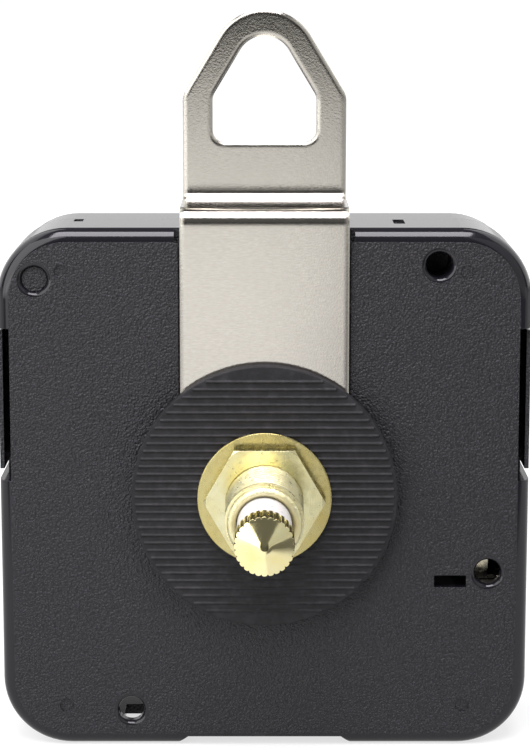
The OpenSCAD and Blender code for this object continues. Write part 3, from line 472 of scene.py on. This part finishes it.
# The floor's glow grows to white over this distance, so that the shadow shows near the object
SHADOW_REACH = (0.08, 0.5)
SHADOW_GLOW = 0.68

# The table as gloss shows it. It ends in front and is dark to the left and right of straight
# ahead, but pale in a strip along the object, far round the sides and behind. A bearing is x over
# the distance ahead, which is never taken as less than LEAST_AHEAD
TABLE_END = (-1.7, -1.0)
TABLE_END_TONE = 0.04
STRIP_HALF = (0.05, 0.09)
STRIP_TONE = 0.76
LEFT_BEARING = (-1.1, -0.75)
RIGHT_BEARING = (0.0, 0.24)
SIDE_DARK = 0.12
ROUND_BEARING = (1.3, 2.2)
ROUND_TONE = 0.55
LEAST_AHEAD = 0.001

# Brightness of the room in front by height, as the sine of the elevation, and behind. One turns
# into the other between the two directions along Y
ROOM_FRONT = ((0.02, 0.05), (0.16, 0.08), (0.22, 0.15), (0.32, 0.15), (0.4, 0.13), (0.85, 0.25))
ROOM_BACK = 0.14
ROOM_TURN = (-0.15, 0.2)


def floor_white():
    """Dull white, with a glow that only the camera, gloss and glass see."""
    mat = bpy.data.materials.new("floor_white")
    mat.use_nodes = True
    g = Graph(mat.node_tree)
    rays = g.node("ShaderNodeLightPath").outputs
    place = g.node("ShaderNodeTexCoord").outputs["Object"]
    parts = g.parts(place)
    y = parts["Y"]
    bearing = g.math("DIVIDE", parts["X"], g.most(g.math("MULTIPLY", y, -1.0), LEAST_AHEAD))
    table = g.smooth(y, TABLE_END, (TABLE_END_TONE, 1.0))
    strip = g.smooth(g.math("ABSOLUTE", y), STRIP_HALF, (STRIP_TONE, 0.0))
    left = g.smooth(bearing, LEFT_BEARING, (SIDE_DARK, 1.0))
    right = g.smooth(bearing, RIGHT_BEARING, (1.0, SIDE_DARK))
    round_sides = g.smooth(g.math("ABSOLUTE", bearing), ROUND_BEARING, (0.0, ROUND_TONE))
    shown = g.math("MULTIPLY", table, g.most(g.math("MULTIPLY", left, right), strip, round_sides))
    shown = g.most(shown, g.math("SUBTRACT", 1.0, rays["Is Glossy Ray"]))

    distance = g.node("ShaderNodeVectorMath", operation="LENGTH")
    g.feed(distance.inputs[0], place)
    glow = g.smooth(distance.outputs["Value"], SHADOW_REACH, (SHADOW_GLOW, 1.0))
    seen = g.most(rays["Is Camera Ray"], rays["Is Glossy Ray"], rays["Is Transmission Ray"])
    strength = g.math("MULTIPLY", g.math("MULTIPLY", glow, shown), seen)

    diffuse = g.node("ShaderNodeBsdfDiffuse")
    emission = g.node("ShaderNodeEmission")
    g.feed(diffuse.inputs["Color"], g.math("MULTIPLY", shown, FLOOR_TONE))
    g.feed(emission.inputs["Strength"], strength)
    both = g.node("ShaderNodeAddShader")
    g.feed(both.inputs[0], diffuse.outputs["BSDF"])
    g.feed(both.inputs[1], emission.outputs["Emission"])
    g.feed(g.tree.nodes["Material Output"].inputs["Surface"], both.outputs["Shader"])
    return mat


def floor():
    floor_z = cad_box[0].z - FLOOR_GAP
    corners = ((-1, -1), (1, -1), (1, 1), (-1, 1))
    mesh = bpy.data.meshes.new("floor")
    mesh.from_pydata([(x * FLOOR_REACH, y * FLOOR_REACH, floor_z) for x, y in corners],
                     [], [(0, 1, 2, 3)])
    mesh.materials.append(floor_white())
    made = bpy.data.objects.new("floor", mesh)
    bpy.context.collection.objects.link(made)


def world():
    """White behind the object for the camera, and a dim room for light and reflections."""
    made = bpy.data.worlds.new("studio")
    bpy.context.scene.world = made
    made.use_nodes = True
    g = Graph(made.node_tree)
    rays = g.node("ShaderNodeLightPath").outputs
    way = g.parts(g.node("ShaderNodeTexCoord").outputs["Generated"])

    # The colour ramp goes from 0 to 1, so heights from -1 to 1 are halved and moved up
    front = g.node("ShaderNodeValToRGB")
    stops = front.color_ramp.elements
    for index, (height, tone) in enumerate(ROOM_FRONT):
        stop = stops[index] if index < len(stops) else stops.new(1)
        stop.position = (height + 1) / 2
        stop.color = (tone, tone, tone, 1)
    g.feed(front.inputs["Fac"], g.math("MULTIPLY_ADD", way["Z"], 0.5, 0.5))

    behind = g.smooth(way["Y"], ROOM_TURN)
    room = g.mix(behind, front.outputs["Color"], ROOM_BACK, "FLOAT")
    seen = g.most(rays["Is Camera Ray"], rays["Is Transmission Ray"])
    background = g.tree.nodes["Background"]
    g.feed(background.inputs["Color"], WHITE)
    g.feed(background.inputs["Strength"], g.mix(seen, room, 1.0, "FLOAT"))


def softbox(name, direction, distance, size, radiance, color=WHITE):
    """Area lamp that faces the object; radiance is its own brightness, 1 being white."""
    width, height = size
    data = bpy.data.lights.new(name, "AREA")
    data.shape = "RECTANGLE"
    data.size = width
    data.size_y = height
    data.energy = radiance * math.pi * width * height
    data.color = color
    made = bpy.data.objects.new(name, data)
    way = Vector(direction).normalized()
    made.location = way * distance
    made.rotation_euler = way.to_track_quat("Z", "Y").to_euler()
    bpy.context.collection.objects.link(made)


floor()
world()
softbox("key_top", direction=(-0.04, -0.34, 0.94), distance=0.50, size=(0.32, 0.38),
        radiance=10.0, color=(0.97, 0.94, 1.0))
softbox("soft_left", direction=(-0.64, -0.66, 0.39), distance=0.36, size=(0.32, 0.38),
        radiance=3.0)
softbox("back_low", direction=(0.0, 0.985, 0.17), distance=0.62, size=(1.0, 0.18),
        radiance=0.88)
softbox("right_fill", direction=(0.68, -0.66, 0.26), distance=0.36, size=(0.36, 0.44),
        radiance=0.55)
for side in (-1, 1):
    softbox(f"side_back_{side}", direction=(0.75 * side, 0.4, 0.53), distance=0.50,
            size=(0.6, 0.6), radiance=1.7)


# Camera: the photograph's, with a small shift and tilt in place of its large shift
FOCAL_PX = 1950
SHIFT_X_PX = 0.5
SHIFT_Y = -0.20
# Blender gives the sensor's width in millimetres
SENSOR_W = 36
CAMERA_DISTANCE = 200 * MM
CAMERA_HEIGHT = 56 * MM
# Degrees by which the camera looks down
CAMERA_DOWN = 7.84
CLIP_NEAR = 0.01
CLIP_FAR = 20


def camera():
    data = bpy.data.cameras.new("camera")
    data.sensor_fit = "AUTO"
    data.sensor_width = SENSOR_W
    data.lens = FOCAL_PX * SENSOR_W / IMAGE_H
    data.shift_x = SHIFT_X_PX / IMAGE_H
    data.shift_y = SHIFT_Y
    data.clip_start = CLIP_NEAR
    data.clip_end = CLIP_FAR
    made = bpy.data.objects.new("camera", data)
    made.location = (0, -CAMERA_DISTANCE, CAMERA_HEIGHT)
    made.rotation_euler = (math.radians(90 - CAMERA_DOWN), 0, 0)
    bpy.context.collection.objects.link(made)
    bpy.context.scene.camera = made


camera()
bpy.context.scene.view_settings.view_transform = "Standard"
